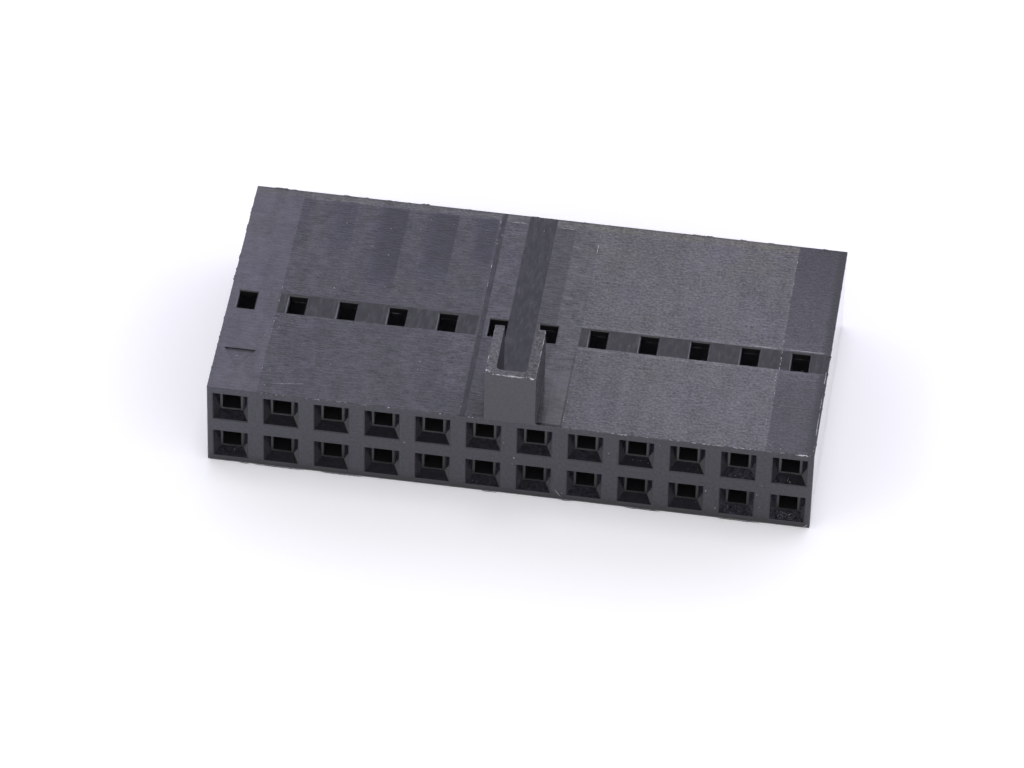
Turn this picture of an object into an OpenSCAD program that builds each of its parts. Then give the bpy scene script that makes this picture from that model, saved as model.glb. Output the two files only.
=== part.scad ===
// Two-row crimp terminal housing with a hollow polarising key, moulded in one piece.
// X runs along the columns, with column one on the left. The mating face looks towards -Y,
// the wire entries look towards +Y, and the key stands on top. The body lies on z = 0.
// All sizes are in millimetres.

/* [Terminal grid] */
// Number of columns along the length
columns = 12; // [4:1:32]
// Number of rows, one above the other
rows = 2; // [1:1:3]
// Distance between neighbouring cavities, along the rows and between them
pitch = 2.54; // [2.3:0.01:3.2]

/* [Body] */
// Depth from the mating face to the wire face
body_d = 15; // [11:0.1:20]
// Wall outside the first and last columns
end_wall = 0.3; // [0.25:0.05:1.5]
// Wall above the top row and below the bottom row
cover_wall = 0.39; // [0.35:0.01:1]
// Rounding of the bottom edges
foot_r = 0.2; // [0.05:0.05:0.2]
// Rounding of the upright corner edges
corner_r = 0.1; // [0.05:0.05:0.2]
// Edge break on the top edges and round every opening
edge = 0.05; // [0.02:0.01:0.07]

/* [Terminal cavity] */
// Width and height of a terminal cavity
cavity_w = 1.76; // [1.6:0.01:1.9]
// Wall in front of the cavities, where the terminals stop
nose_wall = 1.3; // [1:0.1:2.5]
// Width of the lead-in at the wire face
wire_mouth_w = 2.04; // [1.95:0.01:2.1]
// Depth of the lead-in at the wire face
lead_in_d = 0.5; // [0.2:0.1:1.5]

/* [Pin entry] */
// Width of the funnel at the mating face
funnel_mouth_w = 1.72; // [1.5:0.01:1.8]
// Width of the funnel at its bottom
funnel_throat_w = 1.14; // [1.05:0.01:1.3]
// Depth of the funnel
funnel_d = 0.5; // [0.3:0.05:0.9]
// Width of the square hole for the pin
pin_hole_w = 0.92; // [0.75:0.01:1]

/* [Lock windows] */
// Width of a window along the row
window_w = 0.92; // [0.6:0.01:1.1]
// Length of a window along the cavity
window_l = 1.25; // [0.8:0.05:2]
// Distance from the mating face to the middle of the windows
window_y = 6.55; // [5:0.05:8.5]
// Sideways shift of the windows from the middle of their cavities
window_shift = 0.27; // [0:0.01:0.35]

/* [Polarising key] */
// Width of the key across the body
key_w = 2.54; // [2:0.02:4]
// Height of the key above the top face
key_h = 3.1; // [1:0.1:4]
// Length of the key from the mating face backwards
key_d = 3.55; // [2:0.05:4.5]
// Thickness of the key's front wall
key_front_wall = 0.4; // [0.3:0.05:1]
// Thickness of the key's two side arms
key_arm_wall = 0.49; // [0.3:0.01:0.7]
// Radius of the inner corners between front wall and arms
key_inner_r = 0.25; // [0.05:0.05:0.3]

/* [First position mark] */
// Width of the triangle's base
mark_w = 1.6; // [1:0.1:2]
// Length of the triangle, which points to the mating face
mark_l = 1.4; // [0.8:0.1:2]
// Distance from the mating face to the triangle's base
mark_y = 3; // [2.5:0.1:4]
// Depth of the recess
mark_depth = 0.08; // [0.04:0.01:0.15]

/* [Hidden] */
$fn = 32;

// How far a cutting shape reaches past the face that it cuts
over = 0.1;
body_l = (columns - 1) * pitch + cavity_w + 2 * end_wall;
body_h = (rows - 1) * pitch + cavity_w + 2 * cover_wall;
front_y = -body_d / 2;
plastic = [0.21, 0.21, 0.23];

function column_x(i) = (i - (columns - 1) / 2) * pitch;
function row_z(j) = cover_wall + cavity_w / 2 + j * pitch;

// Half widths of one terminal passage, as [distance behind the mating face, half width]
passage = [
    [-over, funnel_mouth_w / 2 + edge + over],
    [edge, funnel_mouth_w / 2],
    [funnel_d, funnel_throat_w / 2],
    [funnel_d, pin_hole_w / 2],
    [nose_wall, pin_hole_w / 2],
    [nose_wall, cavity_w / 2],
    [body_d - lead_in_d, cavity_w / 2],
    [body_d - edge, wire_mouth_w / 2],
    [body_d + over, wire_mouth_w / 2 + edge + over],
];

// Half widths of a window of width w, as [depth below the face, half width]
function window_steps(w) = [
    [-over, w / 2 + edge + over],
    [edge, w / 2],
    [cover_wall + over, w / 2],
];

// Closed outline, symmetric about the first axis, through [distance, half width] steps
function mirrored_outline(steps) = concat(
    steps,
    [for (i = [len(steps) - 1 : -1 : 0]) [steps[i][0], -steps[i][1]]]
);

// Extrudes along X: the outline's first axis becomes Y and its second Z
module along_x(length) {
    rotate([90, 0, 90])
        translate([0, 0, -length / 2])
            linear_extrude(length)
                children();
}

// Extrudes along Y: the outline's first axis becomes X and its second Z
module along_y(length) {
    rotate([90, 0, 0])
        translate([0, 0, -length / 2])
            linear_extrude(length)
                children();
}

// Rectangle that stands on the first axis, with rounded lower and upper corners
module rounded_rect(w, h, r_low, r_high) {
    translate([-w / 2, r_low])
        square([w, h - r_low - r_high]);
    translate([-w / 2 + r_low, 0])
        square([w - 2 * r_low, h / 2]);
    translate([-w / 2 + r_high, h / 2])
        square([w - 2 * r_high, h / 2]);
    for (side = [-1, 1]) {
        translate([side * (w / 2 - r_low), r_low])
            circle(r_low);
        translate([side * (w / 2 - r_high), h - r_high])
            circle(r_high);
    }
}

// Plain block with every outer edge rounded
module body() {
    intersection() {
        along_x(body_l)
            rounded_rect(body_d, body_h, foot_r, edge);
        along_y(body_d)
            rounded_rect(body_l, body_h, foot_r, edge);
        translate([0, front_y, 0])
            linear_extrude(body_h)
                rounded_rect(body_l, body_d, corner_r, corner_r);
    }
}

// Passages from the mating face to the wire face, square at every depth
module passages() {
    intersection() {
        for (i = [0 : columns - 1])
            translate([column_x(i), front_y, -over])
                linear_extrude(body_h + 2 * over)
                    polygon([for (p = mirrored_outline(passage)) [p[1], p[0]]]);
        for (j = [0 : rows - 1])
            translate([0, front_y, row_z(j)])
                along_x(body_l + 2 * over)
                    polygon(mirrored_outline(passage));
    }
}

// One row of windows cut down from z = 0, for the terminals' locking tongues
module windows() {
    intersection() {
        for (i = [0 : columns - 1])
            translate([column_x(i) - window_shift, front_y + window_y, 0])
                along_y(2 * window_l)
                    polygon([for (p = mirrored_outline(window_steps(window_w))) [p[1], -p[0]]]);
        translate([0, front_y + window_y, 0])
            along_x(body_l)
                polygon([for (p = mirrored_outline(window_steps(window_l))) [p[1], -p[0]]]);
    }
}

// Slot inside the key, open to the rear and at the top
module key_slot() {
    slot_w = key_w - 2 * key_arm_wall;
    translate([-slot_w / 2 + key_inner_r, key_front_wall])
        square([slot_w - 2 * key_inner_r, key_d]);
    translate([-slot_w / 2, key_front_wall + key_inner_r])
        square([slot_w, key_d]);
    for (side = [-1, 1])
        translate([side * (slot_w / 2 - key_inner_r), key_front_wall + key_inner_r])
            circle(key_inner_r);
}

// U-shaped key, its front wall flush with the mating face and its root sunk in the cover wall
module key() {
    root = cover_wall / 2;
    translate([0, front_y, 0])
        difference() {
            intersection() {
                translate([0, key_d / 2, body_h - root])
                    along_y(key_d)
                        rounded_rect(key_w, root + key_h, edge, edge);
                translate([0, key_d / 2, body_h - root])
                    along_x(key_w)
                        rounded_rect(key_d, root + key_h, edge, edge);
            }
            translate([0, 0, body_h])
                linear_extrude(key_h + over)
                    key_slot();
        }
}

// Recessed triangle over column one
module first_mark() {
    translate([column_x(0), front_y + mark_y, body_h - mark_depth])
        linear_extrude(mark_depth + over)
            polygon([[-mark_w / 2, 0], [0, -mark_l], [mark_w / 2, 0]]);
}

module housing() {
    color(plastic)
        difference() {
            union() {
                body();
                key();
            }
            passages();
            translate([0, 0, body_h])
                windows();
            rotate([0, 180, 0])
                windows();
            first_mark();
        }
}

housing();
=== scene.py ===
import math
import random
from types import SimpleNamespace

import bmesh
import bpy
from mathutils import Matrix, Vector


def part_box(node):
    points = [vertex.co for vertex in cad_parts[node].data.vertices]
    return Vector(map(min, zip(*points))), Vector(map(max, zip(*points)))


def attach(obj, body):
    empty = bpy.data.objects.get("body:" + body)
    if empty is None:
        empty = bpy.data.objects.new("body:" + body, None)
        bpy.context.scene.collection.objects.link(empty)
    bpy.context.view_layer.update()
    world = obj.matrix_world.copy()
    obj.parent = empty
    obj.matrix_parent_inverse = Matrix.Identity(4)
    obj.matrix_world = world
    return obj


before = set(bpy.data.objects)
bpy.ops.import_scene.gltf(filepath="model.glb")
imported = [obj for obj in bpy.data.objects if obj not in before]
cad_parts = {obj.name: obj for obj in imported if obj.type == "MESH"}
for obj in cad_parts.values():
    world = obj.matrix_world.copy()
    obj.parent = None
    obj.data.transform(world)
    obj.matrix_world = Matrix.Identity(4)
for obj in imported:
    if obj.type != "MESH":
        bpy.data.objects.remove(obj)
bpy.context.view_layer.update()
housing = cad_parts["housing"]

MM = 0.001

# Camera, as fitted to the photograph
IMAGE_W = 1024
SENSOR_MM = 36.0
FOCAL_PX = 6937
CAMERA_POS_MM = (30.75, -250.21, 243.93)
CAMERA_ELEVATION = 44.0
CAMERA_AZIMUTH = -7.2
CAMERA_ROLL = -1.53
CAMERA_CLIP_M = (0.01, 20)

# Places on the body, in millimetres, with y counted from the mating face backwards
LOWEST, HIGHEST = (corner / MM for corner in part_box("housing"))
FRONT_Y = LOWEST.y
BODY_D = HIGHEST.y - LOWEST.y
HALF_L = HIGHEST.x
PITCH = 2.54
COLUMNS = 12
ROW_Z = (PITCH / 2, PITCH * 1.5)
BODY_TOP = PITCH * 2
FUNNEL_MOUTH = 1.72
FUNNEL_THROAT = 1.14
FUNNEL_D = 0.5
FUNNEL_EDGE = 0.05
NOSE_WALL = 1.3
COVER_WALL = 0.39
WINDOW_HALF_W = 0.46
WINDOW_SHIFT = 0.27
WINDOW_BACK_Y = 7.175
KEY_TOP = HIGHEST.z
KEY_HALF_W = 1.27
KEY_D = 3.55
# Between the outer side of the key's right arm and the slot's wall
KEY_ARM_X = 1.0

# How deep the finish of a face reaches, in millimetres
FACE_DEPTH = 0.1
TOP_DEPTH = 0.12
FOOT_DEPTH = 0.05
FUNNEL_DEPTH = FUNNEL_D + 0.05
# How far over the top face the key's finish starts, and the heights between the outer skins
KEY_FOOT = 0.06
CAVITY_Z = (0.06, BODY_TOP - 0.06)
# How far a surface is turned towards a direction, from -1 to 1, to count as facing it
FACING = 0.8
SLOPE_FACING = 0.5
END_FACING = 0.9
FUNNEL_FACING = (-0.64, -0.25)
RIM_FACING = (-0.78, -0.64)

# Zones that the mould inserts leave on the top face
LEFT_PAD_X = -12.64
RIGHT_PAD_X = 12.72
INSERT_X = (-2.5, 2.62)
GROOVE_X = (-2.5, -2.21)
STRIPE_X = (-1.07, 0.36)
PANEL_EDGE_X = 1.36
FIELD_END_X = -4.0
FIELD_END_Y = (1.6, 6.0)
STRIP_FRONT_Y = 5.87
STRIP_LEFT_X = (LEFT_PAD_X, -2.54)
STRIP_LEFT_BACK_Y = 7.33
STRIP_RIGHT_X = 2.6
STRIP_RIGHT_BACK_Y = 7.26
STRIP_BORDER = 0.22
BACK_RIM_Y = 14.45
PATCH_X = (1.2, 2.5)
PATCH_BACK_Y = 3.9
POLISH_X = (1.2, 1.76)
PAD_MIDDLE_Y = (5.0, 8.2)

# Dark seams, edges and corners of the top face, and how dark they are from 0 to 1
SEAM_X = (2.5, 2.59)
SEAM_BACK_Y = 5.4
SEAM_DARK = 0.5
FOOT_LINE_X = (1.34, 2.6)
FOOT_LINE_Y = 0.18
FOOT_LINE_DARK = 0.9
SHADE_X = (-2.25, -1.2)
SHADE_FADE = (0.8, 2.6, 0.45, 0.0)
SHADE_BACK_Y = 6.2
SHADE_BACK_DARK = 0.2
RIGHT_BAND = 0.4
RIGHT_BAND_DARK = 0.7
BACK_LINE = 0.14
BACK_LINE_DARK = 0.4
# Painted shade of the sink marks in the left field: dark bands with a sharp right edge
# Rows hold that edge's x, the width, the strength, and the y where a sink starts and is full
SINK_SHADES = (
    (-12.2, 0.5, 0.4, 10.0, 12.5),
    (-9.8, 1.5, 0.5, 10.0, 12.0),
    (-7.2, 1.8, 0.95, 7.6, 10.0),
    (-4.62, 1.8, 0.95, 8.0, 12.0),
    (-2.6, 1.3, 0.75, 10.8, 11.5),
)

# Hazy funnels: middle x and z, and how far the haze reaches
HAZE_X = 12.2
HAZE_Z = 0.9
HAZE_REACH = 2.6
# Columns whose funnels are a little worn, counted from the left, and how dull they are from 0 to 1
WORN_COLUMNS = (1, 6, 7, 8, 11)
WORN_DULL = 0.4
# The worn funnels left of this are as glossy as the rest
GLOSSY_X = -12.0

# Levels of the top face, as the share of light that it gives back
# A fade holds the place where it starts and the place where it ends, and the value at each
INSERT_LEVEL = 0.045
LEFT_PAD_LEVEL = 0.058
LEFT_FIELD_LEVEL = 0.033
DARK_PANEL_LEVEL = 0.03
LIGHT_PANEL_LEVEL = 0.054
# Partly painted light: the smooth patch right of the key is a lighter zone, and is lifted further against
# the key's shade, most at the front
PATCH_LIGHT_FADE = (0.8, 3.4, 0.096, 0.074)
# Painted shade and reflection: the glossy band beside the key's right foot is darker, most at the front,
# where the key's dark side is mirrored
POLISH_SHADE_FADE = (1.0, 2.6, 0.055, 0.08)
RIGHT_FIELD_FADE = (3.0, 9.0, 0.07, 0.078)
RIGHT_PAD_FADE = (9.0, 14.5, 0.037, 0.022)
PAD_MIDDLE_LIFT = 0.01
BACK_RIM_FADE = (-2.5, 4.0, 0.066, 0.086)
SMOOTH_LEVEL = 0.008
SMOOTH_SPREAD = 0.1
# How many times lighter or darker some places are
FIELD_END_GAIN = 1.55
BORDER_GAIN = 1.3
# Painted shade: the share of the level that the sink marks keep
SINK_SHADE_GAIN = 0.2
SHADE_GAIN = 0.05
# The groove is less smooth at its back
GROOVE_FADE = (2.0, 4.0, 1.0, 0.9)

# Levels of the other faces, and how much their grain varies them
WALL_LEVEL = 0.034
WALL_GRAIN = 0.07
# Painted shade: the webs of the mating face darken from left to right
WEB_SHADE_FADE = (-15.0, 15.0, 0.021, 0.014)
WEB_GRAIN = 0.06
# Painted shade of the table's contact shadow: the webs darken towards the foot
WEB_FOOT_SHADE = (0.05, 0.8, 0.1, 1.0)
KEY_LEVEL = 0.03
KEY_GRAIN = 0.04
KEY_SIDE_LEVEL = 0.05
KEY_SIDE_GRAIN = 0.14
# Painted shade: the inner wall of the key's slot is darker than the other walls
SLOT_SHADE_LEVEL = 0.015
# Painted light and shade in the cavities: their walls are lighter than the plastic, and faces turned to
# the front are much darker
CAVITY_LIT_LEVEL = 0.09
CAVITY_STEP_SHADE_LEVEL = 0.008
PIN_HOLE_LEVEL = 0.012
RING_FADE = (1.8, 3.2, 0.004, 0.012)
FUNNEL_FADE = (1.8, 3.2, 0.008, 0.006)
FUNNEL_GRAIN = 0.02
DULL_LEVEL = 0.012
DULL_GRAIN = 0.09
# Painted light: the right slopes of the funnels, turned towards the left lamp, are lighter
RIGHT_SLOPE_PAINTED_LIGHT = 0.006
# Painted light: the chamfers round the funnel mouths have no sheen and are lifted to the brightness of the
# webs, so that their edge does not show
RIM_LIT_LEVEL = 0.06
CREST_FADE = (-1.0, 1.0, 0.06, 0.041)
CREST_GRAIN = 0.32
LEAST_LEVEL = 0.001

# Shares of green and blue, where red is 1
GREEN = 0.985
ROSY_GREEN = 0.955
WALL_BLUE = 1.08
FRONT_BLUE = 1.45
KEY_BLUE = 1.2
CREST_BLUE_FADE = (-1.0, 1.0, 1.03, 0.95)
DECK_BLUE_FADE = (-3.0, 3.0, 1.2, 1.02)
DECK_BLUE_SPREAD = 0.4
# Painted shade: the sink marks are bluer as well as darker
SINK_SHADE_BLUE = 0.7
RIGHT_PAD_BLUE = 0.15
BACK_RIM_BLUE = -0.2
SHEEN_BLUE = 0.94
PALE_BLUE = 1.02

# Noise: waves per millimetre along x, y and z, detail, roughness
STREAKS = ((1.6, 9.0, 1.0), 2.0, 0.6)
FINE_GRAIN = ((6.5, 8.0, 6.5), 3.0, 0.7)
BLOTCHES = ((2.0, 2.4, 2.0), 2.0, 0.5)
MOTTLE = ((0.9, 0.6, 0.9), 3.0, 0.55)
FLOW = ((1.3, 0.12, 1.0), 2.0, 0.5)
RUBS = ((5.0, 1.4, 1.0), 3.0, 0.65)
TINT_PATCHES = ((0.4, 0.3, 0.4), 2.0, 0.5)
GRAIN = ((6.0, 6.0, 6.0), 3.0, 0.65)
PALE_NOISE = ((7.0, 7.0, 7.0), 2.0, 0.5)
# Textures, as shares of streaks, fine grain and blotches
BRUSHED = (0.6, 0.7, 0.4)
ERODED = (0.35, 0.95, 0.15)
FAINT_TEXTURE = 0.45
# How strongly texture and clouds vary the level, outside the right field and in it
CONTRAST = (3.7, 3.6)
CLOUDS = (0.9, 0.8)
FLOW_SHARE = 0.7

# Gloss and relief of the plastic
IOR = 1.58
ROUGHNESS = {
    "walls": 0.3,
    "deck": 0.52,
    "smooth": 0.22,
    "polish": 0.13,
    "crest": 0.5,
    "front": 0.34,
    "funnel": 0.07,
    "dull": 0.21,
    "left_slope": 0.2,
    "end": 0.06,
}
SPECULAR = 0.5
END_COAT = 0.6
COAT_ROUGHNESS = 0.05
PATCH_EVENNESS = 0.8
DULL_RELIEF = 0.7
UNDER_RELIEF = 0.5
RELIEF_MM = 0.035

# Pale materials: level, and how much it varies; flash and dust are partly painted glints
PALE_AND_GLINT_LEVELS = {
    "flash": (0.4, 0.5),
    "dust_and_glints": (0.28, 0.4),
    "crumbs": (0.1, 0.2),
}
PALE_ROUGHNESS = 0.4
PALE_ROUGHNESS_SPREAD = 0.3

# Slivers of flash: step along them, how deep they root, and their share of full size at the tips
SLIVER_STEP = 0.07
SLIVER_ROOT = 0.012
SLIVER_TIP = 0.25
SLIVER_TAPER = 3
# Random shares along a sliver: its size, the shift of its foot, its height, the lean of its crest
SLIVER_SIZES = (0.55, 1.1)
SLIVER_SHIFTS = (-0.4, 0.4)
SLIVER_HEIGHTS = (0.6, 1.3)
SLIVER_LEANS = (-0.5, 0.5)
# Random shares of the longest sliver of a run, before squaring, and of its width
RUN_SIZES = (0.35, 1)
RUN_WIDTHS = (0.6, 1.2)
# Random shares of a grain's radius, along its axes and at its corners
GRAIN_AXES = (0.6, 1.4)
GRAIN_CORNERS = (0.75, 1.25)
# How far inside the outer faces the flash on an edge sits
EDGE_INSET = 0.02
FRONT_EDGE_Y = 0.03
# Directions: out of the front edge of the top, out of the mating face, and up
BROW = Vector((0, -0.6, 0.8))
FORWARD = Vector((0, -1, 0))
UP = Vector((0, 0, 1))

FLASH_SEED = 3
# Flash on the front edge of the top: start and end x, slivers per millimetre, the longest one
FRONT_EDGE_RUNS = (
    (-12.5, -8.0, 5.0, 0.28),
    (-8.0, -1.4, 3.2, 0.22),
    (2.6, 8.5, 4.0, 0.28),
    (8.5, 14.3, 6.5, 0.4),
)
# Sizes of slivers: width and height
FRONT_EDGE_SIZE = (0.06, 0.04)
# The long sliver at the right end of that edge: x and y of its start and end
FRONT_END_START = (14.15, 0.02)
FRONT_END_STOP = (14.98, 0.03)
FRONT_END_SIZE = (0.08, 0.06)
# Flash on the borders between inserts: x, start and end y, slivers per millimetre, the longest one
BORDER_RUNS = (
    (LEFT_PAD_X, 0.5, 14.6, 0.8, 0.2),
    (RIGHT_PAD_X, 5.6, 7.3, 5.0, 0.32),
    (RIGHT_PAD_X - 0.12, 4.3, 5.7, 4.5, 0.16),
    (RIGHT_PAD_X - 0.04, 3.0, 4.4, 1.5, 0.12),
    (RIGHT_PAD_X - 0.2, 1.2, 2.5, 4.5, 0.14),
    (RIGHT_PAD_X, 7.4, 14.6, 0.6, 0.25),
    (INSERT_X[0], 8.0, 14.5, 1.4, 0.6),
    (INSERT_X[0], 0.5, 5.5, 0.8, 0.2),
    (INSERT_X[1], 0.5, 5.5, 1.4, 0.2),
    (INSERT_X[1], 8.0, 14.4, 0.8, 0.5),
    (HALF_L - 0.1, 0.1, 6.5, 2.2, 0.9),
)
BORDER_SIZE = (0.055, 0.035)
# Straight flash lines across the top: start and end x, y
CROSS_LINES = (
    (-2.15, -1.15, 14.4),
    (0.46, 1.4, 14.36),
    (11.0, 12.4, 7.36),
    (12.9, 14.9, 7.36),
)
CROSS_LINE_SIZE = (0.05, 0.02)
# Scratch on the top: x and y of its start and end
TOP_SCRATCH_START = (-12.1, 0.78)
TOP_SCRATCH_STOP = (-10.3, 1.0)
TOP_SCRATCH_SIZE = (0.04, 0.008)
# A scratch on the mating face, and a painted highlight on its rounded bottom right corner: x and z of the
# start and the end, width and height
FRONT_SCRATCH_AND_CORNER_HIGHLIGHT = (
    ((2.36, 0.74), (2.74, 0.22), (0.045, 0.01)),
    # Painted highlight on the rounded bottom right corner
    ((14.8, 0.1), (15.06, 0.38), (0.07, 0.02)),
)
# Flash on the front of the key's top: start and end x, y, width and height
KEY_SLIVERS = (
    (-1.15, 1.1, 0.03, (0.07, 0.03)),
    (-0.3, 0.5, 0.02, (0.08, 0.04)),
    (0.95, 1.2, 0.03, (0.1, 0.05)),
)
KEY_TOP_INSET = 0.015
# Lumps on the key's left corner: how many, how far they spread in x and y, radius
KEY_LUMPS = 9
KEY_LUMP_SPREAD = (0.22, 0.3)
KEY_LUMP_R = (0.025, 0.05)
# Flash down the key's edges: side, slivers per millimetre, the longest one
KEY_EDGE_RUNS = (
    (1, 3.0, 0.8),
    (-1, 1.5, 0.3),
)
KEY_EDGE_Y = (0.3, KEY_D - 0.1)
KEY_EDGE_SIZE = (0.06, 0.03)

# Burrs: slivers per millimetre, the longest one, width, height
BURR_SEED = 11
SIDE_BURRS = (2.4, 0.5, 0.1, 0.06)
BACK_BURRS = (1.2, 0.5, 0.1, 0.05)
CORNER_BURRS = (2.0, 0.5, 0.08, 0.05)
FOOT_BURRS = (0.4, 2.4, 0.06, 0.012)
# How far burrs stay from the ends of an edge, and where they sit at the front
BURR_END = 0.2
CORNER_BURR_Z = (BURR_END, BODY_TOP - 0.3)
CORNER_INSET = 0.03
FOOT_BURR_END = 0.3
FOOT_BURR_Z = 0.07

# Flash in the windows: slivers per millimetre, the longest one, width, height
WINDOW_SEED = 17
WINDOW_RUN = (4.0, 0.5, 0.025, 0.02)

# Dust and painted glints: how many specks, where, and their radii
DUST_SEED = 7
DECK_SPECKS = 80
DECK_SPECK_SPAN = 0.97
DECK_SPECK_Y = (0.3, BODY_D - 0.4)
DECK_SPECK_R = (0.012, 0.032)
FRONT_SPECKS = 14
FRONT_SPECK_STRAY = 0.3
FRONT_SPECK_Z = (0.4, 4.8)
FRONT_SPECK_R = (0.015, 0.035)
# Places on the top with more specks: start and end x, start and end y, how many
SPECK_CLUSTERS = (
    (-14.2, -13.2, 2.4, 3.6, 3),
    (-12.7, -12.2, 0.3, 5.8, 8),
    (-12.4, -3.0, 7.8, 14.3, 16),
    (-2.7, -1.4, 2.6, 7.6, 14),
    (2.6, 3.1, 0.4, 5.6, 12),
    (6.0, 14.6, 0.2, 1.6, 22),
)
CLUSTER_SPECK_R = (0.012, 0.03)

# Crumbs in funnels: column from the left, row from the bottom, how many
CRUMB_SEED = 5
CRUMBS = (
    (1, 0, 3),
    (6, 0, 3),
    (9, 1, 4),
    (10, 0, 4),
    (10, 1, 3),
    (11, 0, 14),
    (11, 1, 4),
    (12, 0, 60),
)
CRUMB_ACROSS = 0.85
CRUMB_DEPTH = (0.1, 0.9)
CRUMB_R = (0.01, 0.028)
# Smears in the upper funnel on the right: place across, start and end depth
SMEARS = (
    (-0.08, 0.15, 0.75),
    (0.02, 0.05, 0.4),
    (0.1, 0.1, 0.3),
)
SMEAR_SIZE = (0.06, 0.02)

# Light tent: where each change starts and ends along a direction of length 1, and the value at each
SKY_HEIGHT_FADE = (0.5, 0.85, 1.63, 0.11)
SKY_DEPTH_FADE = (-0.6, 0.6, 1.0, 1.05)
SKY_SIDE_FADE = (-0.6, 0.6, 0.97, 1.17)
SKY_BLUE_FADE = (0.1, 0.65, 1.04, 1.24)
SKY_GREEN = 0.995
# Softboxes: name, direction from the part, edge in metres, watts
SOFTBOXES = (
    ("softbox_left", (-0.608, -0.484, 0.628), 0.12, 0.14),
    ("softbox_back", (0.03, 0.17, 0.985), 0.2, 0.5),
)
SOFTBOX_AWAY_M = 0.6
FLOOR_EDGE_M = 1.0
FLOOR_COLOUR = (0.95, 0.945, 0.955)
FLOOR_ROUGHNESS = 0.9
FLOOR_SPECULAR = 0.2
FLOOR_GLOW = 0.165
FLOOR_DROP = 0.01


class Nodes:
    """Wires the nodes of one material or world, so that a finish reads as arithmetic on its surface."""

    def __init__(self, owner):
        owner.use_nodes = True
        self.tree = owner.node_tree

    def put(self, socket, value):
        """Link another socket to this one, or set this one to a value."""
        if isinstance(value, bpy.types.NodeSocket):
            self.tree.links.new(value, socket)
        else:
            socket.default_value = value

    def add(self, kind, settings, *values, **named):
        """New node, with its inputs given in order or by name."""
        node = self.tree.nodes.new(kind)
        for key, value in settings.items():
            setattr(node, key, value)
        for socket, value in zip(node.inputs, values):
            self.put(socket, value)
        for key, value in named.items():
            self.put(node.inputs[key.replace("_", " ")], value)
        return node

    def math(self, operation, *values):
        return self.add("ShaderNodeMath", {"operation": operation}, *values).outputs[0]

    def vector(self, operation, *values):
        return self.add("ShaderNodeVectorMath", {"operation": operation}, *values).outputs[0]

    def split(self, vector):
        """The X, Y and Z of a vector."""
        return self.add("ShaderNodeSeparateXYZ", {}, vector).outputs

    def join(self, *values):
        """Vector or colour of three numbers."""
        return self.add("ShaderNodeCombineXYZ", {}, *values).outputs[0]

    def coordinate(self, name):
        return self.add("ShaderNodeTexCoord", {}).outputs[name]

    def place(self):
        """Point on the surface, in millimetres."""
        return self.vector("MULTIPLY", self.coordinate("Object"), (1 / MM, 1 / MM, 1 / MM))

    def product(self, first, *others):
        for other in others:
            first = self.math("MULTIPLY", first, other)
        return first

    def total(self, first, *others):
        for other in others:
            first = self.math("ADD", first, other)
        return first

    def most(self, first, *others):
        for other in others:
            first = self.math("MAXIMUM", first, other)
        return first

    def vary(self, value, noise, spread):
        """The value, which the noise moves up and down by its share of the spread."""
        return self.total(value, self.product(noise, spread))

    def mix(self, values, shares):
        """Sum of the values, each times its share."""
        return self.total(*[self.product(value, share) for value, share in zip(values, shares)])

    def ramp(self, value, start, end, low=0.0, high=1.0):
        """Smooth change from low to high as the value goes from start to end."""
        settings = {"interpolation_type": "SMOOTHSTEP"}
        return self.add("ShaderNodeMapRange", settings, value, start, end, low, high).outputs[0]

    def above(self, value, edge, soft):
        return self.ramp(value, edge - soft, edge + soft)

    def below(self, value, edge, soft):
        return self.ramp(value, edge - soft, edge + soft, 1.0, 0.0)

    def between(self, value, edges, soft):
        return self.product(self.above(value, edges[0], soft), self.below(value, edges[1], soft))

    def blend(self, factor, first, second):
        """Number that goes from first to second as the factor goes from 0 to 1."""
        return self.add("ShaderNodeMapRange", {}, factor, 0.0, 1.0, first, second).outputs[0]

    def noise(self, place, stretch, detail, roughness):
        """Noise round 0, mostly within -0.3 and 0.3, with the given number of waves per millimetre."""
        settings = {"Scale": 1.0, "Detail": detail, "Roughness": roughness}
        scaled = self.vector("MULTIPLY", place, stretch)
        node = self.add("ShaderNodeTexNoise", {}, Vector=scaled, **settings)
        return self.math("SUBTRACT", node.outputs[0], 0.5)

    def grey(self, level, green, blue):
        """Colour of the given level, with its shares of green and blue."""
        tint = self.join(1.0, green, blue)
        return self.add("ShaderNodeVectorMath", {"operation": "SCALE"}, tint, Scale=level).outputs[0]


def make_camera():
    """Camera at the photograph's viewing angle."""
    elevation = math.radians(CAMERA_ELEVATION)
    azimuth = math.radians(CAMERA_AZIMUTH)
    roll = math.radians(CAMERA_ROLL)
    forward = Vector((
        math.sin(azimuth) * math.cos(elevation),
        math.cos(azimuth) * math.cos(elevation),
        -math.sin(elevation),
    ))
    level = Vector((math.cos(azimuth), -math.sin(azimuth), 0))
    down = forward.cross(level)
    right = math.cos(roll) * level + math.sin(roll) * down
    up = right.cross(forward)
    data = bpy.data.cameras.new("camera")
    data.sensor_width = SENSOR_MM
    data.lens = FOCAL_PX / IMAGE_W * SENSOR_MM
    data.clip_start, data.clip_end = CAMERA_CLIP_M
    camera = bpy.data.objects.new("camera", data)
    turn = Matrix((right, up, -forward)).transposed().to_4x4()
    camera.matrix_world = Matrix.Translation(Vector(CAMERA_POS_MM) * MM) @ turn
    bpy.context.collection.objects.link(camera)
    bpy.context.scene.camera = camera


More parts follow.
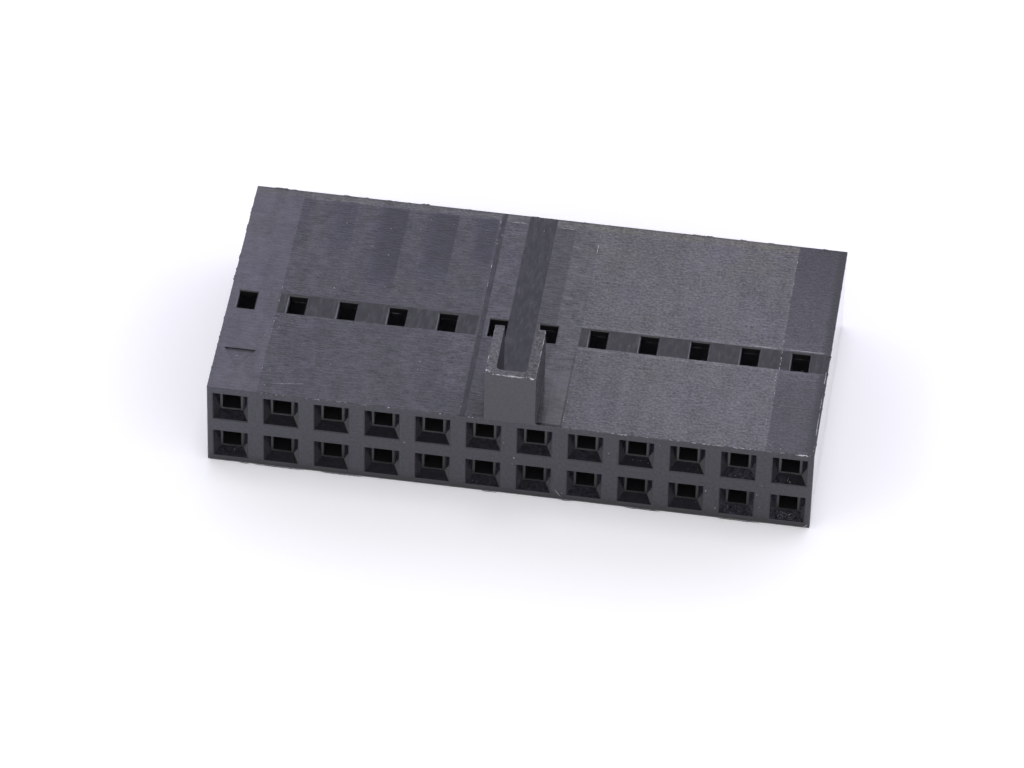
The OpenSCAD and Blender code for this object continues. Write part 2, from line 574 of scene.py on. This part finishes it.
def make_world():
    """Light tent, brighter behind the part than in front of it, and dim overhead."""
    world = bpy.data.worlds.new("studio")
    bpy.context.scene.world = world
    nodes = Nodes(world)
    background = nodes.tree.nodes["Background"]
    towards = nodes.split(nodes.coordinate("Generated"))
    height = nodes.ramp(towards["Z"], *SKY_HEIGHT_FADE)
    depth = nodes.ramp(towards["Y"], *SKY_DEPTH_FADE)
    side = nodes.ramp(towards["X"], *SKY_SIDE_FADE)
    blue = nodes.ramp(towards["Y"], *SKY_BLUE_FADE)
    nodes.put(background.inputs["Color"], nodes.join(1.0, SKY_GREEN, blue))
    nodes.put(background.inputs["Strength"], nodes.product(height, depth, side))


def make_softboxes():
    """One lamp left of the camera, which the smooth funnels mirror, and one high up behind the part."""
    for name, direction, size, watts in SOFTBOXES:
        data = bpy.data.lights.new(name, "AREA")
        data.size = size
        data.energy = watts
        lamp = bpy.data.objects.new(name, data)
        outward = Vector(direction).normalized()
        lamp.location = outward * SOFTBOX_AWAY_M
        lamp.rotation_mode = "QUATERNION"
        lamp.rotation_quaternion = outward.to_track_quat("Z", "Y")
        bpy.context.collection.objects.link(lamp)


def make_floor():
    """White table: what the camera and reflections see of it is lifted towards white."""
    bpy.ops.mesh.primitive_plane_add(size=FLOOR_EDGE_M, location=(0, 0, -FLOOR_DROP * MM))
    floor = bpy.context.object
    floor.name = "floor"
    material = bpy.data.materials.new("floor")
    nodes = Nodes(material)
    shader = nodes.tree.nodes["Principled BSDF"]
    nodes.put(shader.inputs["Base Color"], (*FLOOR_COLOUR, 1))
    nodes.put(shader.inputs["Roughness"], FLOOR_ROUGHNESS)
    nodes.put(shader.inputs["Specular IOR Level"], FLOOR_SPECULAR)
    path = nodes.add("ShaderNodeLightPath", {}).outputs
    seen = nodes.most(path["Is Camera Ray"], path["Is Glossy Ray"], path["Is Transmission Ray"])
    nodes.put(shader.inputs["Emission Color"], (1, 1, 1, 1))
    nodes.put(shader.inputs["Emission Strength"], nodes.product(seen, FLOOR_GLOW))
    floor.data.materials.append(material)


def column_x(column):
    """Middle of a column, counted from 0 on the left, in millimetres."""
    return (column - (COLUMNS - 1) / 2) * PITCH


def surface_of(nodes):
    """Where a point of the housing lies, with y counted from the mating face, and which way it faces."""
    place = nodes.place()
    x, y, z = nodes.split(place)
    y = nodes.math("SUBTRACT", y, FRONT_Y)
    return SimpleNamespace(place=place, x=x, y=y, z=z, facing=nodes.split(nodes.coordinate("Normal")))


def deck_zones(nodes, at):
    """Masks of the zones that the inserts of the mould left on the top face."""
    x, y = at.x, at.y
    on_right = nodes.above(x, STRIP_RIGHT_X, soft=0.05)
    strip_left = nodes.between(x, STRIP_LEFT_X, soft=0.1)
    strip_left = nodes.product(strip_left, nodes.below(y, STRIP_LEFT_BACK_Y, soft=0.1))
    strip_right = nodes.product(on_right, nodes.below(y, STRIP_RIGHT_BACK_Y, soft=0.03))
    strip = nodes.product(nodes.above(y, STRIP_FRONT_Y, soft=0.03), nodes.most(strip_left, strip_right))
    before = nodes.between(y, (STRIP_FRONT_Y - STRIP_BORDER, STRIP_FRONT_Y), soft=0.04)
    behind = nodes.between(y, (STRIP_RIGHT_BACK_Y, STRIP_RIGHT_BACK_Y + STRIP_BORDER), soft=0.04)
    groove = nodes.product(nodes.between(x, GROOVE_X, soft=0.05), nodes.ramp(y, *GROOVE_FADE))
    stripe = nodes.between(x, STRIPE_X, soft=0.04)
    patch = nodes.product(nodes.between(x, PATCH_X, soft=0.04), nodes.below(y, PATCH_BACK_Y, soft=0.4))
    polish = nodes.product(nodes.between(x, POLISH_X, soft=0.1), nodes.below(y, PATCH_BACK_Y, soft=0.3))
    rim = nodes.product(nodes.above(y, BACK_RIM_Y, soft=0.1), nodes.below(x, RIGHT_PAD_X, soft=0.1))
    return {
        "left_pad": nodes.below(x, LEFT_PAD_X, soft=0.03),
        "left_field": nodes.between(x, (LEFT_PAD_X, INSERT_X[0]), soft=0.03),
        "dark_panel": nodes.between(x, (STRIPE_X[1], PANEL_EDGE_X), soft=0.1),
        "light_panel": nodes.between(x, (PANEL_EDGE_X, INSERT_X[1]), soft=0.06),
        "patch": patch,
        "polish": polish,
        "right_field": nodes.between(x, (INSERT_X[1], RIGHT_PAD_X), soft=0.04),
        "right_pad": nodes.above(x, RIGHT_PAD_X, soft=0.04),
        "back_rim": rim,
        "border": nodes.product(on_right, nodes.most(before, behind)),
        "strip": strip,
        "smooth": nodes.most(stripe, groove, strip),
    }


def deck_shades(nodes, at):
    """Dark seams, edges and corners of the top face."""
    x, y = at.x, at.y
    seam = nodes.product(nodes.between(x, SEAM_X, soft=0.02), nodes.below(y, SEAM_BACK_Y, soft=0.4))
    foot = nodes.product(nodes.between(x, FOOT_LINE_X, soft=0.04), nodes.below(y, FOOT_LINE_Y, soft=0.05))
    behind = nodes.product(nodes.below(y, SHADE_BACK_Y, soft=0.6), SHADE_BACK_DARK)
    deeper = nodes.most(nodes.ramp(y, *SHADE_FADE), behind)
    return nodes.most(
        nodes.product(seam, SEAM_DARK),
        nodes.product(foot, FOOT_LINE_DARK),
        nodes.product(nodes.between(x, SHADE_X, soft=0.1), deeper),
        nodes.product(nodes.above(x, HALF_L - RIGHT_BAND, soft=0.15), RIGHT_BAND_DARK),
        nodes.product(nodes.above(y, BODY_D - BACK_LINE, soft=0.05), BACK_LINE_DARK),
    )


def deck_sink_shades(nodes, at):
    """Painted shade of the sink marks: dark bands over the walls between the cavities, sharp on their
    right.
    """
    bands = []
    for edge, width, strength, start, full in SINK_SHADES:
        across = nodes.ramp(at.x, edge - width, edge - width / 2)
        across = nodes.product(across, nodes.below(at.x, edge, soft=0.04))
        bands.append(nodes.product(across, nodes.ramp(at.y, start, full), strength))
    return nodes.product(nodes.most(*bands), nodes.below(at.y, BACK_RIM_Y, soft=0.1))


def deck_tint(nodes, at, top, sink_shades):
    """Share of blue in the top face: most in the painted shade of the sink marks, least at the back rim,
    and uneven throughout.
    """
    patches = nodes.noise(at.place, *TINT_PATCHES)
    return nodes.total(
        nodes.vary(nodes.ramp(at.x, *DECK_BLUE_FADE), patches, DECK_BLUE_SPREAD),
        nodes.product(sink_shades, SINK_SHADE_BLUE),
        nodes.product(top["right_pad"], RIGHT_PAD_BLUE),
        nodes.product(top["back_rim"], BACK_RIM_BLUE),
    )


def deck_texture(nodes, at, top):
    """Brushed on the left and the insert, eroded on the right, and faint on the left pad and the patch."""
    patterns = [nodes.noise(at.place, *pattern) for pattern in (STREAKS, FINE_GRAIN, BLOTCHES)]
    on_right = nodes.most(top["right_field"], top["right_pad"])
    texture = nodes.blend(on_right, nodes.mix(patterns, BRUSHED), nodes.mix(patterns, ERODED))
    faint = nodes.most(top["left_pad"], top["patch"])
    return nodes.product(texture, nodes.blend(faint, 1.0, FAINT_TEXTURE))


def zone_level(nodes, at, top):
    """How light each zone of the top face is, with painted light on the patch and painted shade on the
    polished band beside the key, before its shades and texture.
    """
    level = nodes.blend(top["left_pad"], INSERT_LEVEL, LEFT_PAD_LEVEL)
    level = nodes.blend(top["left_field"], level, LEFT_FIELD_LEVEL)
    field_end = nodes.product(
        nodes.above(at.x, FIELD_END_X, soft=0.6),
        nodes.between(at.y, FIELD_END_Y, soft=0.8),
        top["left_field"],
    )
    level = nodes.product(level, nodes.blend(field_end, 1.0, FIELD_END_GAIN))
    pad_middle = nodes.product(nodes.between(at.y, PAD_MIDDLE_Y, soft=0.6), PAD_MIDDLE_LIFT)
    levels = {
        "dark_panel": DARK_PANEL_LEVEL,
        "light_panel": LIGHT_PANEL_LEVEL,
        "patch": nodes.ramp(at.y, *PATCH_LIGHT_FADE),
        "polish": nodes.ramp(at.y, *POLISH_SHADE_FADE),
        "right_field": nodes.ramp(at.x, *RIGHT_FIELD_FADE),
        "right_pad": nodes.total(nodes.ramp(at.y, *RIGHT_PAD_FADE), pad_middle),
        "back_rim": nodes.ramp(at.x, *BACK_RIM_FADE),
    }
    for zone, own_level in levels.items():
        level = nodes.blend(top[zone], level, own_level)
    return nodes.product(level, nodes.blend(top["border"], 1.0, BORDER_GAIN))


def deck_level(nodes, at, top, sink_shades, texture):
    """How light the top face is, with the painted shade of its sink marks, and its shades, texture and
    clouds.
    """
    level = zone_level(nodes, at, top)
    level = nodes.product(level, nodes.blend(sink_shades, 1.0, SINK_SHADE_GAIN))
    level = nodes.product(level, nodes.blend(deck_shades(nodes, at), 1.0, SHADE_GAIN))
    clouds = nodes.vary(nodes.noise(at.place, *MOTTLE), nodes.noise(at.place, *FLOW), FLOW_SHARE)
    clouds = nodes.product(clouds, nodes.blend(top["right_field"], *CLOUDS))
    contrast = nodes.blend(top["right_field"], *CONTRAST)
    varied = nodes.total(1.0, nodes.product(texture, contrast), clouds)
    level = nodes.product(level, nodes.most(varied, 0.0))
    smooth = nodes.vary(SMOOTH_LEVEL, nodes.noise(at.place, *RUBS), SMOOTH_SPREAD)
    return nodes.blend(top["smooth"], level, smooth)


def body_zones(nodes, at):
    """Masks of the faces of the housing, by where they lie and which way they face."""
    x, y, z = at.x, at.y, at.z
    facing = at.facing
    up = nodes.above(facing["Z"], FACING, soft=0.1)
    down = nodes.below(facing["Z"], -FACING, soft=0.1)
    forward = nodes.below(facing["Y"], -FACING, soft=0.1)
    rightward = nodes.above(facing["X"], FACING, soft=0.1)
    at_front = nodes.below(y, FACE_DEPTH, soft=0.02)
    far = nodes.math("ABSOLUTE", x)
    inside = nodes.below(far, HALF_L - FACE_DEPTH, soft=0.05)
    inside = nodes.product(inside, nodes.between(z, CAVITY_Z, soft=0.02))
    funnel = nodes.between(facing["Y"], FUNNEL_FACING, soft=0.02)
    funnel = nodes.product(funnel, nodes.below(y, FUNNEL_DEPTH, soft=0.02))
    key = nodes.above(z, BODY_TOP + KEY_FOOT, soft=0.03)
    end = nodes.math("GREATER_THAN", nodes.math("ABSOLUTE", facing["X"]), END_FACING)
    top_z = (BODY_TOP - TOP_DEPTH, BODY_TOP + TOP_DEPTH)
    ring_y = (FUNNEL_D - FACE_DEPTH, FUNNEL_D + FACE_DEPTH)
    cavity_y = (NOSE_WALL, BODY_D - FACE_DEPTH)
    return {
        "deck": nodes.product(up, nodes.between(z, top_z, soft=0.02)),
        "crest": nodes.product(up, nodes.above(z, KEY_TOP - TOP_DEPTH, soft=0.02)),
        "front": nodes.product(forward, at_front),
        "rim": nodes.product(nodes.between(facing["Y"], RIM_FACING, soft=0.02), at_front, inside),
        "funnel": funnel,
        "left_slope": nodes.product(funnel, nodes.above(facing["X"], SLOPE_FACING, soft=0.1)),
        "right_slope": nodes.product(funnel, nodes.below(facing["X"], -SLOPE_FACING, soft=0.1)),
        "ring": nodes.product(forward, nodes.between(y, ring_y, soft=0.02)),
        "pin_hole": nodes.product(nodes.between(y, (FUNNEL_D, NOSE_WALL), soft=0.02), inside),
        "cavity": nodes.product(nodes.between(y, cavity_y, soft=0.02), inside),
        "key": key,
        "key_side": nodes.product(rightward, nodes.above(x, KEY_ARM_X, soft=0.05), key),
        "slot": nodes.product(rightward, nodes.below(x, KEY_ARM_X, soft=0.05), key),
        "end": nodes.product(end, nodes.above(far, HALF_L - FACE_DEPTH, soft=0.05)),
        "under": nodes.product(down, nodes.below(z, FOOT_DEPTH, soft=0.02)),
    }


def funnel_wear(nodes, at):
    """How dull the funnels are: most in the hazy ones on the lower right, less in the worn columns."""
    aside = nodes.math("SUBTRACT", at.x, HAZE_X)
    higher = nodes.math("SUBTRACT", at.z, HAZE_Z)
    away = nodes.math("SQRT", nodes.total(nodes.product(aside, aside), nodes.product(higher, higher)))
    middles = [column_x(column - 1) for column in WORN_COLUMNS]
    edges = [(middle - PITCH / 2, middle + PITCH / 2) for middle in middles]
    worn = nodes.most(*[nodes.between(at.x, pair, soft=0.05) for pair in edges])
    return nodes.most(nodes.below(away, HAZE_REACH, soft=0.3), nodes.product(worn, WORN_DULL))


def plastic_level(nodes, at, body, grain, dull, on_deck_level):
    """How light each face of the housing is, with painted shade on the webs and the key's slot, painted
    light on the funnels' right slopes and mouth chamfers, and painted light and shade in the cavities.
    """
    web = nodes.vary(nodes.ramp(at.x, *WEB_SHADE_FADE), grain, WEB_GRAIN)
    web = nodes.product(nodes.ramp(at.z, *WEB_FOOT_SHADE), web)
    key_front = nodes.vary(KEY_LEVEL, grain, KEY_GRAIN)
    step = nodes.below(at.facing["Y"], -SLOPE_FACING, soft=0.1)
    smooth = nodes.vary(nodes.ramp(at.z, *FUNNEL_FADE), grain, FUNNEL_GRAIN)
    levels = {
        "front": nodes.blend(nodes.above(at.z, BODY_TOP, soft=0.05), web, key_front),
        "key_side": nodes.vary(KEY_SIDE_LEVEL, grain, KEY_SIDE_GRAIN),
        "slot": SLOT_SHADE_LEVEL,
        "cavity": nodes.blend(step, CAVITY_LIT_LEVEL, CAVITY_STEP_SHADE_LEVEL),
        "pin_hole": PIN_HOLE_LEVEL,
        "ring": nodes.ramp(at.z, *RING_FADE),
        "funnel": nodes.blend(dull, smooth, nodes.vary(DULL_LEVEL, grain, DULL_GRAIN)),
    }
    level = nodes.vary(WALL_LEVEL, grain, WALL_GRAIN)
    for face, own_level in levels.items():
        level = nodes.blend(body[face], level, own_level)
    level = nodes.total(level, nodes.product(body["right_slope"], RIGHT_SLOPE_PAINTED_LIGHT))
    level = nodes.blend(body["rim"], level, RIM_LIT_LEVEL)
    level = nodes.blend(body["deck"], level, on_deck_level)
    crest = nodes.vary(nodes.ramp(at.x, *CREST_FADE), grain, CREST_GRAIN)
    return nodes.most(nodes.blend(body["crest"], level, crest), LEAST_LEVEL)


def plastic_blue(nodes, at, body, on_deck_blue):
    """Share of blue in each face of the housing."""
    blue = nodes.blend(body["deck"], WALL_BLUE, on_deck_blue)
    blue = nodes.blend(body["front"], blue, nodes.blend(body["key"], FRONT_BLUE, KEY_BLUE))
    blue = nodes.blend(body["funnel"], blue, FRONT_BLUE)
    blue = nodes.blend(body["rim"], blue, WALL_BLUE)
    return nodes.blend(body["crest"], blue, nodes.ramp(at.x, *CREST_BLUE_FADE))


def plastic_roughness(nodes, at, body, top, dull):
    """Satin all over, glossy where the steel of the mould was smooth."""
    finish = nodes.blend(top["smooth"], ROUGHNESS["deck"], ROUGHNESS["smooth"])
    finish = nodes.blend(top["polish"], finish, ROUGHNESS["polish"])
    finish = nodes.blend(body["deck"], ROUGHNESS["walls"], finish)
    hazed = nodes.product(dull, nodes.above(at.x, GLOSSY_X, soft=0.5))
    finishes = {
        "crest": ROUGHNESS["crest"],
        "front": ROUGHNESS["front"],
        "funnel": nodes.blend(hazed, ROUGHNESS["funnel"], ROUGHNESS["dull"]),
        "left_slope": ROUGHNESS["left_slope"],
        "end": ROUGHNESS["end"],
    }
    for face, own_finish in finishes.items():
        finish = nodes.blend(body[face], finish, own_finish)
    return finish


def plastic_relief(nodes, body, top, grain, dull, texture):
    """Height of the texture on the top face, and of the grain on the key, dull funnels and underside."""
    even = nodes.most(top["smooth"], nodes.product(top["patch"], PATCH_EVENNESS))
    relief = nodes.product(texture, nodes.math("SUBTRACT", 1.0, even), body["deck"])
    dull_funnel = nodes.product(body["funnel"], dull, DULL_RELIEF)
    grainy = nodes.most(body["crest"], dull_funnel, nodes.product(body["under"], UNDER_RELIEF))
    return nodes.total(relief, nodes.product(grain, grainy))


def make_plastic():
    """Dark satin plastic: eroded and brushed fields on top, smooth where pins and inserts shaped it."""
    material = bpy.data.materials.new("housing_plastic")
    nodes = Nodes(material)
    shader = nodes.tree.nodes["Principled BSDF"]
    at = surface_of(nodes)
    body = body_zones(nodes, at)
    top = deck_zones(nodes, at)
    sink_shades = deck_sink_shades(nodes, at)
    texture = deck_texture(nodes, at, top)
    grain = nodes.noise(at.place, *GRAIN)
    dull = funnel_wear(nodes, at)

    level = plastic_level(nodes, at, body, grain, dull, deck_level(nodes, at, top, sink_shades, texture))
    rosy = nodes.product(body["deck"], nodes.most(top["left_pad"], top["right_field"], top["right_pad"]))
    green = nodes.blend(rosy, GREEN, ROSY_GREEN)
    blue = plastic_blue(nodes, at, body, deck_tint(nodes, at, top, sink_shades))
    nodes.put(shader.inputs["Base Color"], nodes.grey(level, green, blue))

    nodes.put(shader.inputs["Roughness"], plastic_roughness(nodes, at, body, top, dull))
    nodes.put(shader.inputs["IOR"], IOR)
    matt = nodes.most(body["key_side"], body["rim"])
    nodes.put(shader.inputs["Specular IOR Level"], nodes.blend(matt, SPECULAR, 0.0))
    glossy = nodes.product(body["deck"], nodes.most(top["strip"], top["polish"]))
    sheen_blue = nodes.blend(glossy, 1.0, SHEEN_BLUE)
    nodes.put(shader.inputs["Specular Tint"], nodes.join(1.0, 1.0, sheen_blue))
    nodes.put(shader.inputs["Coat Weight"], nodes.product(body["end"], END_COAT))
    nodes.put(shader.inputs["Coat Roughness"], COAT_ROUGHNESS)

    relief = plastic_relief(nodes, body, top, grain, dull, texture)
    bump = nodes.add("ShaderNodeBump", {}, Strength=1.0, Distance=RELIEF_MM * MM, Height=relief)
    nodes.put(shader.inputs["Normal"], bump.outputs[0])
    return material


def make_pale(name):
    """Thin flash, scraped edges and dust: paler than the plastic, partly as painted glints, and uneven."""
    material = bpy.data.materials.new(name)
    nodes = Nodes(material)
    shader = nodes.tree.nodes["Principled BSDF"]
    uneven = nodes.noise(nodes.place(), *PALE_NOISE)
    level, spread = PALE_AND_GLINT_LEVELS[name]
    nodes.put(shader.inputs["Base Color"], nodes.grey(nodes.vary(level, uneven, spread), GREEN, PALE_BLUE))
    nodes.put(shader.inputs["Roughness"], nodes.vary(PALE_ROUGHNESS, uneven, PALE_ROUGHNESS_SPREAD))
    nodes.put(shader.inputs["IOR"], IOR)
    return material


def on_deck(x, y, lift=0.0):
    """Point over the top face, in millimetres."""
    return Vector((x, FRONT_Y + y, BODY_TOP + lift))


def on_front(x, z):
    """Point on the mating face, in millimetres."""
    return Vector((x, FRONT_Y, z))


def funnel_floor(column, row, across, depth):
    """Point on the lower slope of a funnel: across from -1 to 1, depth from 0 at the mouth to 1."""
    half = (FUNNEL_MOUTH + (FUNNEL_THROAT - FUNNEL_MOUTH) * depth) / 2
    x = column_x(column) + across * half
    y = FUNNEL_EDGE + (FUNNEL_D - FUNNEL_EDGE) * depth
    return Vector((x, FRONT_Y + y, ROW_Z[row] - half))


def add_sliver(shape, rng, start, end, out, width, height):
    """Closed ragged ridge from start to end, with its crest towards out."""
    along = end - start
    side = along.cross(out).normalized() * width / 2
    count = max(3, round(along.length / SLIVER_STEP))
    rings = []
    for i in range(count + 1):
        t = i / count
        size = rng.uniform(*SLIVER_SIZES) * min(1, SLIVER_TIP + SLIVER_TAPER * min(t, 1 - t))
        foot = start.lerp(end, t) - out * SLIVER_ROOT + side * rng.uniform(*SLIVER_SHIFTS)
        rise = SLIVER_ROOT + height * size * rng.uniform(*SLIVER_HEIGHTS)
        crest = foot + out * rise + side * rng.uniform(*SLIVER_LEANS)
        corners = (foot - side * size, foot + side * size, crest)
        rings.append([shape.verts.new(corner * MM) for corner in corners])
    for ring, following in zip(rings, rings[1:]):
        for i in range(3):
            j = (i + 1) % 3
            shape.faces.new((ring[i], ring[j], following[j], following[i]))
    shape.faces.new(reversed(rings[0]))
    shape.faces.new(rings[-1])


def add_run(shape, rng, start, end, out, per_mm, longest, width, height):
    """Slivers scattered along the line from start to end."""
    along = (end - start).normalized()
    reach = (end - start).length
    for _ in range(max(1, round(reach * per_mm))):
        size = rng.uniform(*RUN_SIZES) ** 2
        half = longest * size / 2
        place = rng.uniform(half, reach - half)
        first = start + along * (place - half)
        last = start + along * (place + half)
        add_sliver(shape, rng, first, last, out, width * rng.uniform(*RUN_WIDTHS), height * size)


def add_grain(shape, rng, middle, radius):
    """Uneven crumb of dust."""
    squash = Matrix.Diagonal([rng.uniform(*GRAIN_AXES) for _ in range(3)]).to_4x4()
    turn = Matrix.Rotation(rng.uniform(0, math.pi), 4, Vector((rng.random(), rng.random(), 0.5)))
    crumb = Matrix.Translation(middle * MM) @ turn @ squash
    ball = bmesh.ops.create_icosphere(shape, subdivisions=1, radius=radius * MM, matrix=crumb)
    for corner in ball["verts"]:
        corner.co = middle * MM + (corner.co - middle * MM) * rng.uniform(*GRAIN_CORNERS)


def add_piece(name, shape, material):
    """Piece of the finished shape, which moves with the housing."""
    bmesh.ops.recalc_face_normals(shape, faces=shape.faces)
    mesh = bpy.data.meshes.new(name)
    shape.to_mesh(mesh)
    shape.free()
    mesh.materials.append(material)
    piece = bpy.data.objects.new(name, mesh)
    bpy.context.collection.objects.link(piece)
    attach(piece, "root")


def make_front_edge_flash(rng, material):
    """Flash along the front edge of the top, with a long sliver at its right end."""
    shape = bmesh.new()
    for start_x, end_x, per_mm, longest in FRONT_EDGE_RUNS:
        start = on_deck(start_x, FRONT_EDGE_Y, -EDGE_INSET)
        end = on_deck(end_x, FRONT_EDGE_Y, -EDGE_INSET)
        add_run(shape, rng, start, end, BROW, per_mm, longest, *FRONT_EDGE_SIZE)
    start = on_deck(*FRONT_END_START, -EDGE_INSET)
    end = on_deck(*FRONT_END_STOP, -EDGE_INSET)
    add_sliver(shape, rng, start, end, BROW, *FRONT_END_SIZE)
    add_piece("flash_front_edge", shape, material)


def make_border_flash(rng, material):
    """Flash on the borders between zones of the top, and a scratch."""
    shape = bmesh.new()
    for x, start_y, end_y, per_mm, longest in BORDER_RUNS:
        add_run(shape, rng, on_deck(x, start_y), on_deck(x, end_y), UP, per_mm, longest, *BORDER_SIZE)
    for start_x, end_x, y in CROSS_LINES:
        add_sliver(shape, rng, on_deck(start_x, y), on_deck(end_x, y), UP, *CROSS_LINE_SIZE)
    start = on_deck(*TOP_SCRATCH_START)
    add_sliver(shape, rng, start, on_deck(*TOP_SCRATCH_STOP), UP, *TOP_SCRATCH_SIZE)
    add_piece("flash_insert_borders", shape, material)


def make_front_scratch_and_corner_highlight(rng, material):
    """A scratch on the mating face, and a pale sliver on its bottom right corner as a painted highlight.
    """
    shape = bmesh.new()
    for start, end, size in FRONT_SCRATCH_AND_CORNER_HIGHLIGHT:
        add_sliver(shape, rng, on_front(*start), on_front(*end), FORWARD, *size)
    add_piece("front_scratch_and_corner_highlight", shape, material)


def make_key_flash(rng, material):
    """Flash on the front and the sides of the key's top, and lumps on its left corner."""
    shape = bmesh.new()
    crest = KEY_TOP - BODY_TOP - KEY_TOP_INSET
    edge_x = KEY_HALF_W - EDGE_INSET
    for start_x, end_x, y, size in KEY_SLIVERS:
        add_sliver(shape, rng, on_deck(start_x, y, crest), on_deck(end_x, y, crest), BROW, *size)
    corner = on_deck(-edge_x, FRONT_EDGE_Y, crest)
    spread_x, spread_y = KEY_LUMP_SPREAD
    for _ in range(KEY_LUMPS):
        lump = corner + Vector((rng.uniform(0, spread_x), rng.uniform(0, spread_y), 0))
        add_grain(shape, rng, lump, rng.uniform(*KEY_LUMP_R))
    for side, per_mm, longest in KEY_EDGE_RUNS:
        start, end = (on_deck(side * edge_x, y, crest) for y in KEY_EDGE_Y)
        out = Vector((side * 0.5, 0, 0.85))
        add_run(shape, rng, start, end, out, per_mm, longest, *KEY_EDGE_SIZE)
    add_piece("flash_key", shape, material)


def make_flash(material):
    """Flash where the inserts of the mould met, as runs of slivers, a scratch of the same look, and a
    painted highlight on the bottom right corner of the mating face.
    """
    rng = random.Random(FLASH_SEED)
    make_front_edge_flash(rng, material)
    make_border_flash(rng, material)
    make_front_scratch_and_corner_highlight(rng, material)
    make_key_flash(rng, material)


def make_burrs(material):
    """Small burrs of the dark plastic on the outer edges, which roughen the outline."""
    rng = random.Random(BURR_SEED)
    shape = bmesh.new()
    side_x = HALF_L - EDGE_INSET
    ends_y = (BURR_END, BODY_D - BURR_END)
    for side in (-1, 1):
        outward = Vector((side * 0.8, 0, 0.6))
        start, end = (on_deck(side * side_x, y, -EDGE_INSET) for y in ends_y)
        add_run(shape, rng, start, end, outward, *SIDE_BURRS)
    backward = Vector((0, 0.8, 0.6))
    ends_x = (BURR_END - HALF_L, HALF_L - BURR_END)
    start, end = (on_deck(x, BODY_D - EDGE_INSET, -EDGE_INSET) for x in ends_x)
    add_run(shape, rng, start, end, backward, *BACK_BURRS)
    corner = Vector((0.7, -0.7, 0))
    start, end = (on_front(side_x, z) - corner * CORNER_INSET for z in CORNER_BURR_Z)
    add_run(shape, rng, start, end, corner, *CORNER_BURRS)
    ends_x = (FOOT_BURR_END - HALF_L, HALF_L - FOOT_BURR_END)
    start, end = (on_front(x, FOOT_BURR_Z) for x in ends_x)
    add_run(shape, rng, start, end, FORWARD, *FOOT_BURRS)
    add_piece("edge_burrs", shape, material)


def make_dust_and_glints(material):
    """Specks on the top and front: dust, and painted glints."""
    rng = random.Random(DUST_SEED)
    shape = bmesh.new()
    for _ in range(DECK_SPECKS):
        middle = on_deck(rng.uniform(-HALF_L, HALF_L) * DECK_SPECK_SPAN, rng.uniform(*DECK_SPECK_Y))
        add_grain(shape, rng, middle, rng.uniform(*DECK_SPECK_R))
    for start_x, end_x, start_y, end_y, count in SPECK_CLUSTERS:
        for _ in range(count):
            middle = on_deck(rng.uniform(start_x, end_x), rng.uniform(start_y, end_y))
            add_grain(shape, rng, middle, rng.uniform(*CLUSTER_SPECK_R))
    for _ in range(FRONT_SPECKS):
        web_x = (rng.randrange(1, COLUMNS) - COLUMNS / 2) * PITCH
        stray = rng.uniform(-FRONT_SPECK_STRAY, FRONT_SPECK_STRAY)
        middle = on_front(web_x + stray, rng.uniform(*FRONT_SPECK_Z))
        add_grain(shape, rng, middle, rng.uniform(*FRONT_SPECK_R))
    add_piece("dust_and_glints", shape, material)


def make_crumbs(material):
    """Crumbs and smears that the mould left on the lower slopes of the funnels, mostly on the right."""
    rng = random.Random(CRUMB_SEED)
    shape = bmesh.new()
    for column, row, count in CRUMBS:
        for _ in range(count):
            across = rng.uniform(-CRUMB_ACROSS, CRUMB_ACROSS)
            middle = funnel_floor(column - 1, row, across, rng.uniform(*CRUMB_DEPTH))
            add_grain(shape, rng, middle, rng.uniform(*CRUMB_R))
    slope = Vector((0, -0.55, 0.835))
    for across, *depths in SMEARS:
        start, end = (funnel_floor(COLUMNS - 1, 1, across, depth) for depth in depths)
        add_sliver(shape, rng, start, end, slope, *SMEAR_SIZE)
    add_piece("crumbs", shape, material)


def make_window_flash(material):
    """Thin flash on the lower rear edges of the windows, where the pins of the mould met."""
    rng = random.Random(WINDOW_SEED)
    shape = bmesh.new()
    out = Vector((0, -0.9, -0.4))
    half = Vector((WINDOW_HALF_W, 0, 0))
    for column in range(1, COLUMNS):
        middle = on_deck(column_x(column) - WINDOW_SHIFT, WINDOW_BACK_Y, -COVER_WALL)
        add_run(shape, rng, middle - half, middle + half, out, *WINDOW_RUN)
    add_piece("flash_windows", shape, material)


make_camera()
make_world()
make_softboxes()
make_floor()
plastic = make_plastic()
housing.data.materials.clear()
housing.data.materials.append(plastic)
make_flash(make_pale("flash"))
make_burrs(plastic)
make_dust_and_glints(make_pale("dust_and_glints"))
crumb_plastic = make_pale("crumbs")
make_crumbs(crumb_plastic)
make_window_flash(crumb_plastic)

bpy.context.scene.view_settings.view_transform = "Standard"
